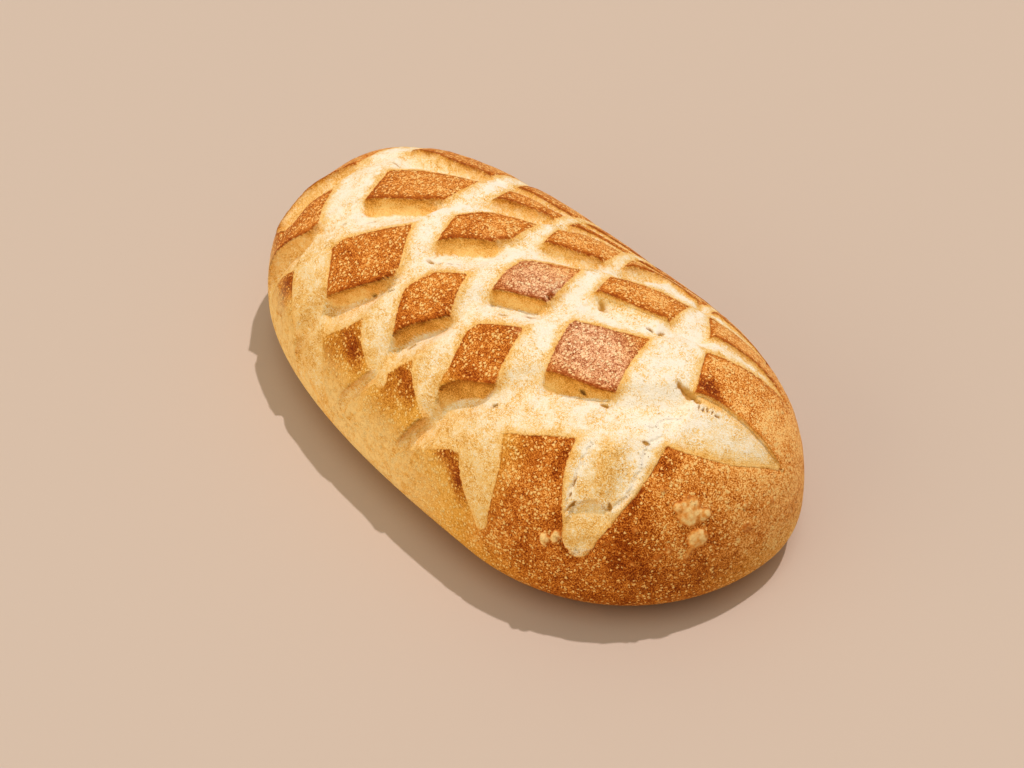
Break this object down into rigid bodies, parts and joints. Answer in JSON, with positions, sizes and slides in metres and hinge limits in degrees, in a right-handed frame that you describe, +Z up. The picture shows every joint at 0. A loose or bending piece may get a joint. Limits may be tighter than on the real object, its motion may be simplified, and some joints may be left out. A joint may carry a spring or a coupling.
{
  "type": "sourdough vienna loaf",
  "caption": "Whole oval sourdough vienna loaf with a browned crust and a lattice of slashes opened across its top.",
  "frame": {"origin": "middle of the loaf's bounding box in plan, on the plane that its flat base rests on", "axes": "+X along the loaf's length towards its rounder end, +Z up from the base to the crown, +Y towards the side where the crust lifts less"},
  "size_m": [0.2799, 0.1512, 0.0937],
  "materials": {
    "crust": "baked bread crust: satin red-brown on the tiles between the slashes, golden on the sides, matt pale cream where the slashes have opened"
  },
  "bodies": {
    "root": {"loaf": "crust"}
  },
  "joints": []
}
